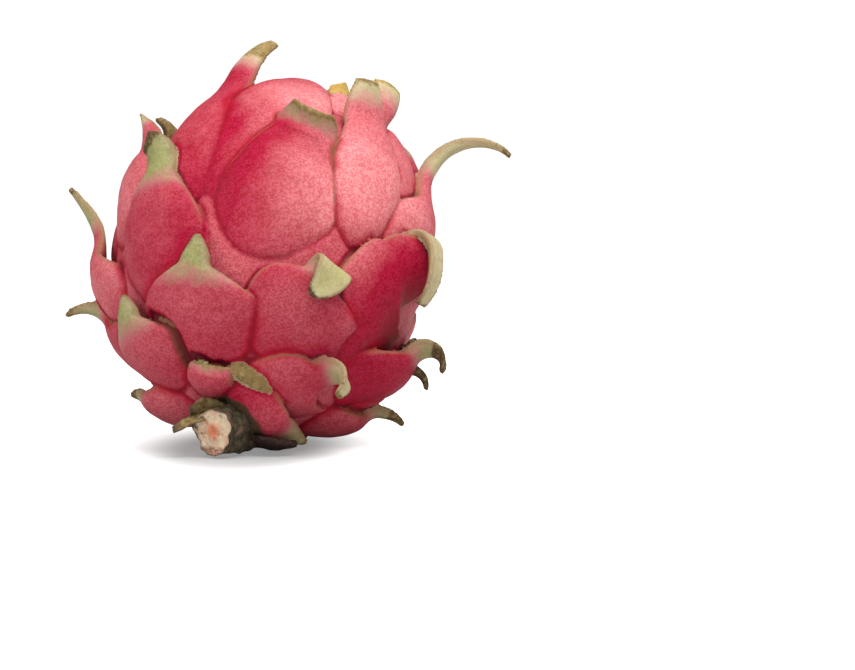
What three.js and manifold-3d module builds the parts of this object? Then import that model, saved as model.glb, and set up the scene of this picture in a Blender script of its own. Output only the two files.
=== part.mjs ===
// A whole dragon fruit (pitaya): an egg-shaped berry whose skin is covered with fused leaf
// scales. Each scale is a low cushion on the skin that ends in a free tip. The cut stem stub
// sits in a socket at the lower end, and the dried flower scar in a pit at the upper end.
// Millimetres, +Z up. The origin is the centre of the flat spot that the fruit rests on.
import * as THREE from 'three';
import { mergeVertices } from 'three/addons/utils/BufferGeometryUtils.js';
import Module from 'manifold-3d';

const wasm = await Module();
wasm.setup();

// Berry.
const BODY_RADIUS = 46.6;
const BODY_HALF_LENGTH = 56;
const REST_HEIGHT = 54.5;
const LEAN_DEG = 36.55;
const LEAN_HEADING_DEG = 69.4;
const REST_OFFSET = [1.9, 3.5];
const BODY_SEGMENTS = [20, 12];

// Scales.
const CUSHION_ROWS = [0, 0.08, 0.26, 0.52, 0.78, 1];
const TIP_STEPS = 24;
const TIP_ROWS = [2, 3, 6, 8];
const TIP_ROW_LIMITS = [55, 120, 280];
const BLADE_COLUMNS = 4;
const CUSHION_SINK = 4.5;
const CUSHION_EDGE_SINK = 1.4;
const TIP_THICKNESS = [1.2, 0.8];
const TIP_CROWN = [2.4, 0.5];
const TIP_BELLY = 0.9;

// Stem stub and flower scar. Stem points are measured from the berry's centre.
const GAP = 0.3;
const STEM_PATH = [[-1.5, -25, -44.3], [-6.3, -34, -45.8], [-10.6, -42, -46.6], [-14.2, -48, -46.9]];
const STEM_RADII = [9.4, 8.2, 7.3, 7.1];
const STEM_SIDES = 16;
const SCAR_RADIUS = 7;
const SCAR_DEPTH = 5;
const SCAR_PROFILE = [
  [0, 0], [6.5, 0], [7, 1.2], [6.7, 4.4], [5.4, 5.2], [4.2, 3.4], [2.8, 2.8], [2.1, 4.6],
  [1.8, 8.6], [1.1, 9.6], [0, 9.8],
];

const rad = THREE.MathUtils.degToRad;
const vec = (x, y, z) => new THREE.Vector3(x, y, z);

// The berry's own directions: the axis runs from the stem end to the flower end, and longitude
// zero is the meridian that faces -Y.
const lean = rad(LEAN_DEG);
const heading = rad(LEAN_HEADING_DEG);
const centre = vec(REST_OFFSET[0], REST_OFFSET[1], REST_HEIGHT);
const axis = vec(
  Math.sin(lean) * Math.cos(heading),
  Math.sin(lean) * Math.sin(heading),
  Math.cos(lean),
);
const facing = vec(0, -1, 0.07).normalize();
const front = facing.clone().addScaledVector(axis, -facing.dot(axis)).normalize();
const right = axis.clone().cross(front);

// Scales that were placed one by one. `from` and `to` are the longitude and latitude of the
// cushion's root and shoulder, `tip` the free tip's length, root width and end width, `lift`
// the shoulder's height over the skin, `bulge` the cushion's height over its edge, `root` and
// `shoulder` how square its two ends are, `saddle` the dip before the tip and `turn` the way the
// shoulder turns to the right. `curl` is the tip's outward bend and `sway` its sideways bend, in
// equal stretches of its length, `twist` its turn about its own length and `taper` how soon it
// narrows.
const SCALES = [
  { from: [-20, -14], to: [-7, 56], width: 45, tip: [6, 18, 12], lift: 2 },
  { from: [-39, -18], to: [-40, 34], width: 30, tip: [36, 13, 4.2], lift: 2, curl: [40, -36],
    sway: [8, 8], twist: 22, shoulder: 1.2 },
  { from: [-4, -32], to: [2, 18], width: 39, tip: [9.7, 20, 12.5], curl: [60, 50], turn: 6,
    shoulder: 1, saddle: 0.6 },
  { from: [33, -20], to: [28, 33.6], width: 27, tip: [18.5, 17, 8.4], lift: 3.2, curl: [52, -4],
    sway: [-16, 0], root: 1.5 },
  { from: [37, -2], to: [34.5, 39.9], width: 19, tip: [23.2, 6.5, 10.1], lift: 1.8,
    curl: [62, -38], sway: [16, -18], root: 1.5, bulge: 1.8 },
  { from: [58, -18], to: [64, 24], width: 40, tip: [46, 9.5, 2], lift: 2.5, curl: [75, 90],
    sway: [0, 30], shoulder: 1.1, bulge: 2, taper: 1.8 },
  { from: [49, 2], to: [50, 50], width: 32, tip: [3, 14, 10], lift: 0.5, bulge: 1.6 },
  { from: [-43, -50], to: [-46, -2], width: 34, tip: [14, 12, 7], lift: 4, curl: [20, 50],
    sway: [-12, -45] },
  { from: [-23, -69], to: [-25, -36], width: 41, tip: [9.2, 10.5, 1.8], lift: 3.4, turn: 5,
    root: 4 },
  { from: [-71, -75], to: [-66, -48], width: 35, tip: [8, 12, 2], lift: 4, curl: [-5, -5],
    sway: [4, 4] },
  { from: [-82, -48], to: [-93, -17], width: 24, tip: [36.5, 11, 2], lift: 5.7, curl: [38, 14],
    taper: 1.5 },
  { from: [-92, -63], to: [-97, -41], width: 24, tip: [20, 9, 1.5], curl: [60, 70], bulge: 1.6 },
  { from: [-68, -22], to: [-74, 15], width: 26, tip: [31, 16, 0.8], lift: 2.8, curl: [25, 15],
    sway: [-20, -14], twist: 20, bulge: 2.2, taper: 1.2 },
  { from: [-100, 0], to: [-92, 36], width: 24, tip: [12, 14, 8], curl: [70, 50], sway: [20, 10] },
  { from: [16, 34], to: [20, 60], width: 18, tip: [9, 9, 6], lift: 0.6, curl: [45, 40],
    sway: [-20, -30], bulge: 0.8 },
  { from: [30, -62], to: [24.5, -31], width: 39, tip: [18, 13, 2.5], curl: [130, 110, 0, -20],
    sway: [0, 0, -20, -10], turn: 16, root: 4, shoulder: 3.2, taper: 0.6 },
  { from: [62, -50], to: [51, -15], width: 38, tip: [13.5, 22, 12], curl: [30, 10, 10, 0],
    turn: 50, shoulder: 2.8, taper: 0.6 },
  { from: [68, -36], to: [56, -4.5], width: 9, tip: [34, 7, 5], lift: 1.5,
    curl: [170, 85, 20, 35], bulge: 0.6 },
  { from: [86, -56], to: [82, -30], width: 32, tip: [17, 13, 3], lift: 7, curl: [90, 110] },
  { from: [106, -54], to: [94, -33], width: 24, tip: [15, 8, 2.5], lift: 4, curl: [90, 80] },
  { from: [104, -42], to: [97, -19], width: 28, tip: [4, 12, 8], curl: [20, 10] },
  { from: [60, -77], to: [48, -57], width: 34, tip: [18, 11, 3], curl: [110, 80], turn: 35 },
  { from: [118, -66], to: [110, -45], width: 24, tip: [16, 9, 2], lift: 5, curl: [60, 40] },
  { from: [-34, -82], to: [-18, -68], width: 14, tip: [2.5, 13, 11], lift: 3.5, curl: [10, 0],
    bulge: 2.6 },
  { from: [20, -79], to: [24, -68.3], width: 22, tip: [3, 20, 9], lift: 2, curl: [10, 0],
    bulge: 1.5 },
  { from: [-6, -67.5], to: [61, -74.5], width: 15, tip: [14, 11, 2], lift: 6, sway: [4, -20],
    root: 4, bulge: 3.5 },
  { from: [-85, -84], to: [-118, -62], width: 20, tip: [9, 8, 2], lift: 4, curl: [20, 20] },
  { from: [150, -84], to: [158, -48], width: 34, tip: [9, 12, 4], curl: [30, 20] },
];

// Scales in rings round the far side. Every ring holds `count` scales from longitude `first`,
// `step` degrees apart, and each differs a little from its neighbours.
const RINGS = [
  { root: -52, shoulder: -25, first: 142, step: 44, count: 3, width: 32, tip: 15, curl: 60 },
  { root: -26, shoulder: 10, first: 122, step: 43, count: 4, width: 36, tip: 17, curl: 40 },
  { root: 0, shoulder: 36, first: 104, step: 46, count: 4, width: 36, tip: 20, curl: 45 },
  { root: 30, shoulder: 60, first: 84, step: 42, count: 5, width: 28, tip: 9, curl: 0 },
  { root: 55, shoulder: 76, first: 30, step: 72, count: 4, width: 19, tip: 6, curl: 15 },
];

function ringScales() {
  const scales = [];
  RINGS.forEach((ring, r) => {
    for (let i = 0; i < ring.count; i += 1) {
      const wave = (k) => Math.sin(2.7 * i + 1.9 * r + k);
      const longitude = ring.first + ring.step * i;
      scales.push({
        from: [longitude + 3 * wave(1), ring.root + 3 * wave(2)],
        to: [longitude + 4 * wave(3), ring.shoulder + 3 * wave(4)],
        width: ring.width + 3 * wave(5),
        tip: [ring.tip + 3 * wave(6), 10 + 2 * wave(7), 2.5 + wave(8)],
        lift: 2.5 + 0.8 * wave(9),
        curl: [ring.curl + 10 * wave(10), ring.curl * 0.6 + 10 * wave(11)],
        sway: [6 * wave(12), 6 * wave(13)],
      });
    }
  });
  return scales;
}

function direction(longitude, latitude) {
  const around = rad(longitude);
  const up = rad(latitude);
  return vec(0, 0, 0)
    .addScaledVector(front, Math.cos(up) * Math.cos(around))
    .addScaledVector(right, Math.cos(up) * Math.sin(around))
    .addScaledVector(axis, Math.sin(up));
}

// Points here are measured from the berry's centre.
function onSkin(point) {
  const unit = point.clone().normalize();
  const along = unit.dot(axis);
  const across = (1 - along * along) / BODY_RADIUS ** 2;
  return unit.multiplyScalar(1 / Math.sqrt(across + along ** 2 / BODY_HALF_LENGTH ** 2));
}

function skinNormal(point) {
  const along = axis.clone().multiplyScalar(point.dot(axis));
  const across = point.clone().sub(along).divideScalar(BODY_RADIUS ** 2);
  return across.addScaledVector(along, 1 / BODY_HALF_LENGTH ** 2).normalize();
}

function ease(x) {
  const t = THREE.MathUtils.clamp(x, 0, 1);
  return t * t * (3 - 2 * t);
}

function arc(a, b, t) {
  const angle = a.angleTo(b);
  return vec(0, 0, 0)
    .addScaledVector(a, Math.sin((1 - t) * angle) / Math.sin(angle))
    .addScaledVector(b, Math.sin(t * angle) / Math.sin(angle));
}

// The frame on the skin at share t of the way from a scale's root to its shoulder.
function skinFrame(a, b, t) {
  const place = onSkin(arc(a, b, t));
  const ahead = onSkin(arc(a, b, t + 0.001)).sub(place);
  const normal = skinNormal(place);
  const along = ahead.addScaledVector(normal, -ahead.dot(normal)).normalize();
  return { place, normal, along, side: along.clone().cross(normal) };
}

// A curve given as equal stretches, each turning by its own angle: its turn at share t, for each
// whole length.
function curveAt(angles, t) {
  return rad(angles[Math.floor(t * angles.length)]) * angles.length;
}

// A scale's upper and lower skins, as rows of points from its root to the end of its tip.
function scaleRows(scale) {
  const { width, lift, tip, curl, sway, twist, turn, root, shoulder, bulge, saddle, taper } = {
    lift: 3, curl: [0], sway: [0], twist: 0, turn: 0, root: 2.6, shoulder: 1.7, bulge: 2.9,
    saddle: 0, taper: 1, ...scale,
  };
  const [tipLength, tipWidth, endWidth] = tip;
  const a = direction(...scale.from);
  const b = direction(...scale.to);
  const upper = [];
  const lower = [];
  const columns = [];
  for (let j = 0; j <= BLADE_COLUMNS; j += 1) {
    columns.push(-1 + (2 * j) / BLADE_COLUMNS);
  }
  const crown = (v) => (1 - Math.abs(v) ** 2.6) ** 0.8;
  const dome = (v) => (1 - Math.abs(v) ** 2.2) ** 1.15;

  let frame = skinFrame(a, b, 0);
  CUSHION_ROWS.forEach((t, i) => {
    frame = skinFrame(a, b, t);
    const beyond = Math.max(0, 2 * t - 1);
    const swell = t < 0.5 ? (1 - (1 - 2 * t) ** root) ** (1 / root) : 1;
    const half = t < 0.5
      ? (width / 2) * (0.15 + 0.85 * swell)
      : width / 2 + (tipWidth / 2 - width / 2) * beyond ** shoulder;
    const dip = t < 0.5 ? 0 : saddle * Math.exp(-(((t - 0.95) / 0.1) ** 2));
    const height = (bulge * swell + (TIP_CROWN[0] - bulge) * ease(beyond)) * (1 - dip);
    const edge = -CUSHION_EDGE_SINK + (lift + CUSHION_EDGE_SINK) * ease(t);
    const under = -CUSHION_SINK + (edge - 1.2 + CUSHION_SINK) * ease((t - 0.35) / 0.5);
    frame.along.applyAxisAngle(frame.normal, -rad(turn) * ease(beyond));
    frame.side.copy(frame.along).cross(frame.normal);
    upper.push([]);
    lower.push([]);
    for (const v of columns) {
      const place = onSkin(frame.place.clone().addScaledVector(frame.side, v * half));
      const normal = skinNormal(place);
      const shape = THREE.MathUtils.lerp(dome(v), crown(v), ease(beyond));
      upper[i].push(place.clone().addScaledVector(normal, edge + height * shape));
      lower[i].push(place.clone().addScaledVector(normal, under));
    }
  });

  // The free tip leaves the shoulder along the skin, then bends, sways and twists.
  const spine = frame.place.clone().addScaledVector(frame.normal, lift);
  const { along, normal } = frame;
  const bent = curl.reduce((sum, angle) => sum + Math.abs(angle), 1.5 * tipLength);
  const rowCount = TIP_ROWS[TIP_ROW_LIMITS.filter((limit) => bent > limit).length];
  const step = tipLength / TIP_STEPS;
  for (let i = 1; i <= TIP_STEPS; i += 1) {
    const middle = (i - 0.5) / TIP_STEPS;
    const free = ease(middle / 0.25);
    const bend = (curveAt(curl, middle) * free) / TIP_STEPS - (step / BODY_RADIUS) * (1 - free);
    const side = along.clone().cross(normal);
    along.applyAxisAngle(side, bend);
    normal.applyAxisAngle(side, bend);
    along.applyAxisAngle(normal, -curveAt(sway, middle) / TIP_STEPS);
    normal.applyAxisAngle(along, rad(twist) / TIP_STEPS);
    side.copy(along).cross(normal);
    spine.addScaledVector(along, step);
    if (i % (TIP_STEPS / rowCount) !== 0) {
      continue;
    }
    const t = i / TIP_STEPS;
    const narrowed = THREE.MathUtils.lerp(endWidth / 2, tipWidth / 2, (1 - t) ** taper);
    const reach = Math.max(0.6, narrowed + 0.06 * tipWidth * Math.sin(Math.PI * t));
    const thick = THREE.MathUtils.lerp(TIP_THICKNESS[0], TIP_THICKNESS[1], t);
    const rise = THREE.MathUtils.lerp(TIP_CROWN[0], TIP_CROWN[1], t);
    const row = upper.length;
    upper.push([]);
    lower.push([]);
    for (const v of columns) {
      const x = v * reach;
      const droop = (x * x * (1 - t)) / (2 * BODY_RADIUS);
      const cup = 0.15 * Math.abs(v) ** 1.6 * reach * ease(1.5 * t);
      const place = spine.clone().addScaledVector(side, x).addScaledVector(normal, -droop - cup);
      upper[row].push(place.clone().addScaledVector(normal, rise * crown(v)));
      const belly = TIP_BELLY * (1 - t) * crown(v);
      lower[row].push(place.clone().addScaledVector(normal, -thick - belly));
    }
  }
  return [upper, lower];
}

// A closed shell between two grids of points that share their outline.
function shell(upper, lower) {
  const rows = upper.length;
  const across = upper[0].length;
  const positions = [];
  for (const point of [...upper.flat(), ...lower.flat()]) {
    positions.push(point.x, point.y, point.z);
  }
  const top = (i, j) => i * across + j;
  const base = (i, j) => (rows + i) * across + j;
  const index = [];
  const quad = (p, q, r, s) => index.push(p, q, r, p, r, s);
  for (let i = 0; i + 1 < rows; i += 1) {
    for (let j = 0; j + 1 < across; j += 1) {
      quad(top(i, j), top(i, j + 1), top(i + 1, j + 1), top(i + 1, j));
      quad(base(i, j), base(i + 1, j), base(i + 1, j + 1), base(i, j + 1));
    }
    quad(top(i, 0), top(i + 1, 0), base(i + 1, 0), base(i, 0));
    quad(top(i, across - 1), base(i, across - 1), base(i + 1, across - 1), top(i + 1, across - 1));
  }
  for (let j = 0; j + 1 < across; j += 1) {
    quad(top(0, j), base(0, j), base(0, j + 1), top(0, j + 1));
    quad(top(rows - 1, j), top(rows - 1, j + 1), base(rows - 1, j + 1), base(rows - 1, j));
  }
  const geometry = new THREE.BufferGeometry();
  geometry.setAttribute('position', new THREE.Float32BufferAttribute(positions, 3));
  geometry.setIndex(index);
  return geometry;
}

function solid(geometry) {
  const bare = geometry.clone();
  bare.deleteAttribute('normal');
  bare.deleteAttribute('uv');
  const merged = mergeVertices(bare, 1e-4);
  const made = new wasm.Manifold(new wasm.Mesh({
    numProp: 3,
    vertProperties: new Float32Array(merged.getAttribute('position').array),
    triVerts: new Uint32Array(merged.index.array),
  }));
  if (made.status() !== 'NoError') {
    throw new Error(`a shape is not closed: ${made.status()}`);
  }
  return made;
}

function geometryOf(made) {
  const mesh = made.getMesh();
  const geometry = new THREE.BufferGeometry();
  geometry.setAttribute('position', new THREE.BufferAttribute(mesh.vertProperties, mesh.numProp));
  geometry.setIndex(new THREE.BufferAttribute(mesh.triVerts, 1));
  geometry.computeVertexNormals();
  return geometry;
}

// The berry without its scales.
function berry() {
  const sphere = new THREE.SphereGeometry(1, ...BODY_SEGMENTS);
  const place = sphere.getAttribute('position');
  for (let i = 0; i < place.count; i += 1) {
    const point = vec(0, 0, 0)
      .addScaledVector(front, place.getZ(i))
      .addScaledVector(right, place.getX(i))
      .addScaledVector(axis, place.getY(i));
    place.setXYZ(i, ...onSkin(point));
  }
  return solid(sphere);
}

// A tube of rounded, slightly lobed rings along the stem's path, `grow` larger all round.
function stemTube(grow) {
  const curve = new THREE.CatmullRomCurve3(STEM_PATH.map((point) => vec(...point)));
  const rings = 8;
  const positions = [];
  const index = [];
  for (let i = 0; i <= rings; i += 1) {
    const t = i / rings;
    const ahead = curve.getTangent(t);
    const side = ahead.clone().cross(vec(0, 0, 1)).normalize();
    const up = side.clone().cross(ahead);
    const middle = curve.getPoint(t);
    if (i === 0 || i === rings) {
      middle.addScaledVector(ahead, i === 0 ? -grow : grow);
    }
    const k = Math.min(Math.floor(t * 3), 2);
    const radius = THREE.MathUtils.lerp(STEM_RADII[k], STEM_RADII[k + 1], t * 3 - k) + grow;
    for (let j = 0; j < STEM_SIDES; j += 1) {
      const around = (2 * Math.PI * j) / STEM_SIDES;
      const lobed = radius * (1 + 0.06 * Math.sin(3 * around + 0.6) + 0.04 * Math.sin(5 * around));
      positions.push(...middle.clone()
        .addScaledVector(side, lobed * Math.cos(around))
        .addScaledVector(up, lobed * Math.sin(around)));
    }
  }
  for (let i = 0; i < rings; i += 1) {
    for (let j = 0; j < STEM_SIDES; j += 1) {
      const next = (j + 1) % STEM_SIDES;
      const a = i * STEM_SIDES + j;
      const b = i * STEM_SIDES + next;
      index.push(a, b + STEM_SIDES, b, a, a + STEM_SIDES, b + STEM_SIDES);
    }
  }
  for (let j = 1; j + 1 < STEM_SIDES; j += 1) {
    const last = rings * STEM_SIDES;
    index.push(0, j, j + 1, last, last + j + 1, last + j);
  }
  const geometry = new THREE.BufferGeometry();
  geometry.setAttribute('position', new THREE.Float32BufferAttribute(positions, 3));
  geometry.setIndex(index);
  return solid(geometry);
}

// The withered bracts on the stub: each has stations of a point and a half width, the way its
// width runs, and its thickness.
const BRACTS = [
  {
    stations: [[-8, -35, -49.2, 4], [-3, -39, -50.7, 4.5], [2.5, -41, -51.4, 4],
      [6.5, -40.5, -51.7, 3], [9.5, -38.5, -51.8, 1.5]],
    across: [0.15, -0.85, 0.35],
    thickness: 2.4,
  },
  {
    stations: [[-9, -36, -43.5, 4], [-13.5, -39.5, -42, 4], [-18, -43, -42.8, 3.6],
      [-22.2, -45.5, -44.3, 3], [-25.8, -47, -46.3, 1.8]],
    across: [0.15, -0.95, -0.25],
    thickness: 1.6,
  },
  {
    stations: [[-11, -36.5, -42.5, 2.6], [-14, -38.5, -40.6, 2.8], [-17.5, -41, -40.2, 2.6],
      [-21.3, -42.8, -41.6, 1.6]],
    across: [-0.1, -0.45, 0.9],
    thickness: 1.3,
  },
];

function bract({ stations, across, thickness }, grow) {
  const side = vec(...across).normalize();
  const upper = [];
  const lower = [];
  stations.forEach(([x, y, z, half], i) => {
    const before = vec(...stations[Math.max(i - 1, 0)]);
    const after = vec(...stations[Math.min(i + 1, stations.length - 1)]);
    const ahead = after.sub(before).normalize();
    const up = side.clone().cross(ahead).normalize();
    const end = i === stations.length - 1 ? grow : 0;
    upper.push([]);
    lower.push([]);
    for (let v = -1; v <= 1; v += 0.5) {
      const place = vec(x, y, z)
        .addScaledVector(ahead, end)
        .addScaledVector(side, v * (half + grow))
        .addScaledVector(up, 0.6 * (1 - v * v));
      upper[i].push(place.clone().addScaledVector(up, thickness / 2 + grow));
      lower[i].push(place.clone().addScaledVector(up, -thickness / 2 - grow));
    }
  });
  return solid(shell(upper, lower));
}

function stem(grow) {
  let made = stemTube(grow);
  for (const one of BRACTS) {
    made = made.add(bract(one, grow));
  }
  return made;
}

// Turns a shape built round +Y from the bottom of the pit, so that +Y is the berry's axis.
function onFlowerEnd(geometry, up) {
  geometry.applyQuaternion(new THREE.Quaternion().setFromUnitVectors(vec(0, 1, 0), axis));
  const foot = axis.clone().multiplyScalar(BODY_HALF_LENGTH - SCAR_DEPTH + up);
  return geometry.translate(...foot);
}

function fruit() {
  let made = berry();
  for (const scale of [...SCALES, ...ringScales()]) {
    made = made.add(solid(shell(...scaleRows(scale))));
  }
  made = made.subtract(stem(GAP));
  const pit = new THREE.CylinderGeometry(SCAR_RADIUS + GAP, SCAR_RADIUS + GAP, 30, 24);
  made = made.subtract(solid(onFlowerEnd(pit, 15)));
  const room = new THREE.BoxGeometry(400, 400, 200);
  made = made.intersect(solid(room.translate(0, 0, 100 - REST_HEIGHT)));
  // The outermost shell alone, without the closed hollows left between scales.
  return made.decompose().reduce((best, one) => (one.volume() > best.volume() ? one : best));
}

function scar() {
  const profile = SCAR_PROFILE.map(([x, y]) => new THREE.Vector2(x, y));
  return solid(onFlowerEnd(new THREE.LatheGeometry(profile, 20), GAP));
}

function piece(name, made, colour, roughness) {
  const material = new THREE.MeshStandardMaterial({ color: colour, roughness, metalness: 0 });
  const mesh = new THREE.Mesh(geometryOf(made), material);
  mesh.name = name;
  mesh.position.copy(centre);
  return mesh;
}

const dragonFruit = new THREE.Group();
dragonFruit.add(piece('fruit', fruit(), 0xd2395b, 0.5));
dragonFruit.add(piece('stem_stub', stem(0), 0x8c7a5c, 0.85));
dragonFruit.add(piece('flower_scar', scar(), 0x9a835a, 0.9));

export default dragonFruit;
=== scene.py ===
"""A whole dragon fruit, its stem end low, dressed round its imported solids. Metres, +Z up."""

import math
from types import SimpleNamespace

import bmesh
import bpy
import numpy as np
from mathutils import Matrix, Vector, noise
from mathutils.bvhtree import BVHTree


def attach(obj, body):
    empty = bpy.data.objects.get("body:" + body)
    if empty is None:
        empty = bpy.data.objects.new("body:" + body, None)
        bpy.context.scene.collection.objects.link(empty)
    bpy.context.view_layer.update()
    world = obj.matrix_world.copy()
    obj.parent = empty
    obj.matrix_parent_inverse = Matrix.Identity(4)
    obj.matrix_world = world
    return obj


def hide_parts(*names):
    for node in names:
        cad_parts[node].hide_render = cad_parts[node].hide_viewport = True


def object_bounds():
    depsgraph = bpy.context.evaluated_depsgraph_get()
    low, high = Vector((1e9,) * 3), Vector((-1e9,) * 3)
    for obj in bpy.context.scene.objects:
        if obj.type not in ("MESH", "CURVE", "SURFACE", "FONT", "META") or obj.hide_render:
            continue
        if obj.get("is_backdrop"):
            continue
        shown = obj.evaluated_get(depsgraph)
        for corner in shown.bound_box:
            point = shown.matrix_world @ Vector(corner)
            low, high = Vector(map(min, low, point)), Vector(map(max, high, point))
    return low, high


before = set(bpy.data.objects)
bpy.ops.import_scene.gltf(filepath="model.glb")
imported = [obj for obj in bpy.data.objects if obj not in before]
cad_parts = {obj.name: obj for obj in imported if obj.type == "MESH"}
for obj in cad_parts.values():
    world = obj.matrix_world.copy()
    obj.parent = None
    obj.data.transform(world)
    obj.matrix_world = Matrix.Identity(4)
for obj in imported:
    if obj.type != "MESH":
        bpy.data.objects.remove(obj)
cad_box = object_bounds()

MM = 0.001

# -------- the berry's frame

# The shape is worked out in millimetres from the berry's centre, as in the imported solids.
BODY_RADIUS = 46.6
BODY_HALF_LENGTH = 56.0
REST_HEIGHT = 54.5
LEAN = math.radians(36.55)
HEADING = math.radians(69.4)
CENTRE = np.array([1.9, 3.5, REST_HEIGHT])


def unit(v):
    v = np.asarray(v, float)
    return v / np.linalg.norm(v, axis=-1, keepdims=True)


# The axis runs from the stem end to the flower end, and longitude zero is the meridian that faces
# the viewer.
AXIS = np.array([
    math.sin(LEAN) * math.cos(HEADING),
    math.sin(LEAN) * math.sin(HEADING),
    math.cos(LEAN),
])
FACING = unit([0, -1, 0.07])
FRONT = unit(FACING - FACING @ AXIS * AXIS)
RIGHT = np.cross(AXIS, FRONT)


def direction(longitude, latitude):
    """From the berry's centre, for angles in degrees; the flower end is at latitude 90."""
    a, u = math.radians(longitude), math.radians(latitude)
    return math.cos(u) * (math.cos(a) * FRONT + math.sin(a) * RIGHT) + math.sin(u) * AXIS


def on_skin(p):
    """Where the ray from the centre through each point meets the bare berry."""
    p = unit(p)
    along = (p @ AXIS) ** 2
    return p / np.sqrt((1 - along) / BODY_RADIUS**2 + along / BODY_HALF_LENGTH**2)[..., None]


def skin_normal(p):
    along = (p @ AXIS)[..., None] * AXIS
    return unit((p - along) / BODY_RADIUS**2 + along / BODY_HALF_LENGTH**2)


def ease(x):
    """0 up to 0, 1 from 1, and a smooth step between."""
    t = np.clip(x, 0, 1)
    return t * t * (3 - 2 * t)


def turned(v, about, angle):
    """A vector turned about a unit vector."""
    c, s = math.cos(angle), math.sin(angle)
    return v * c + np.cross(about, v) * s + about * (about @ v) * (1 - c)


# -------- the scales

CUSHION_ROWS = 30
TIP_ROWS = 24
COLUMNS = 29
CUSHION_SINK = 4.5
CUSHION_EDGE_SINK = 1.4
TIP_THICKNESS = (1.2, 0.8)
TIP_CROWN = (2.4, 0.5)
TIP_BELLY = 0.9
TIP_SWELL = 0.06
TIP_DROOP = 0.15
TIP_FREE_FROM = 0.25
LEAST_HALF_WIDTH = 0.6
ROOT_WIDTH = 0.15
SADDLE_PLACE, SADDLE_REACH = 0.95, 0.1
UNDERCUT_START, UNDERCUT_REACH = 0.35, 0.5


# A scale is a pad that grows over the skin and ends in a free tip. start and to are the longitude
# and latitude of the pad's two ends, and width is its width. tip holds the tip's length, its width
# at the pad and its width at the end. lift is how far the pad's end stands off the skin. curl
# (outwards) and sway (to the right) hold the angles that equal stretches of the tip turn through,
# twist turns its upper side to the right, and turn swings the whole tip to the right. root and
# shoulder are how blunt the pad's two ends are, bulge is how high it domes, saddle how far the
# dome dips before the tip, and taper how early the tip narrows. A deep crease runs where a scale
# of tier 1 meets one of tier 2. look: how many millimetres from the tip's end are green and dried,
# how green (0 cream) and how brown (0 khaki) they are, and how pale the pad is on its left and its
# right.
# pale is partly each pad's own tone and partly painted light: higher on lit sides as a painted
# highlight, and below 0, deep dark red, as painted shade under curled tips.
def scale(start, to, width, tip, lift=3.0, curl=(0, 0), sway=(0, 0), twist=0, turn=0, root=2.6,
          shoulder=1.7, bulge=2.9, saddle=0.0, taper=1.0, tier=0,
          look=(10, 2, 0.6, 0.3, (0.1, 0.1))):
    return SimpleNamespace(**locals())


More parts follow.
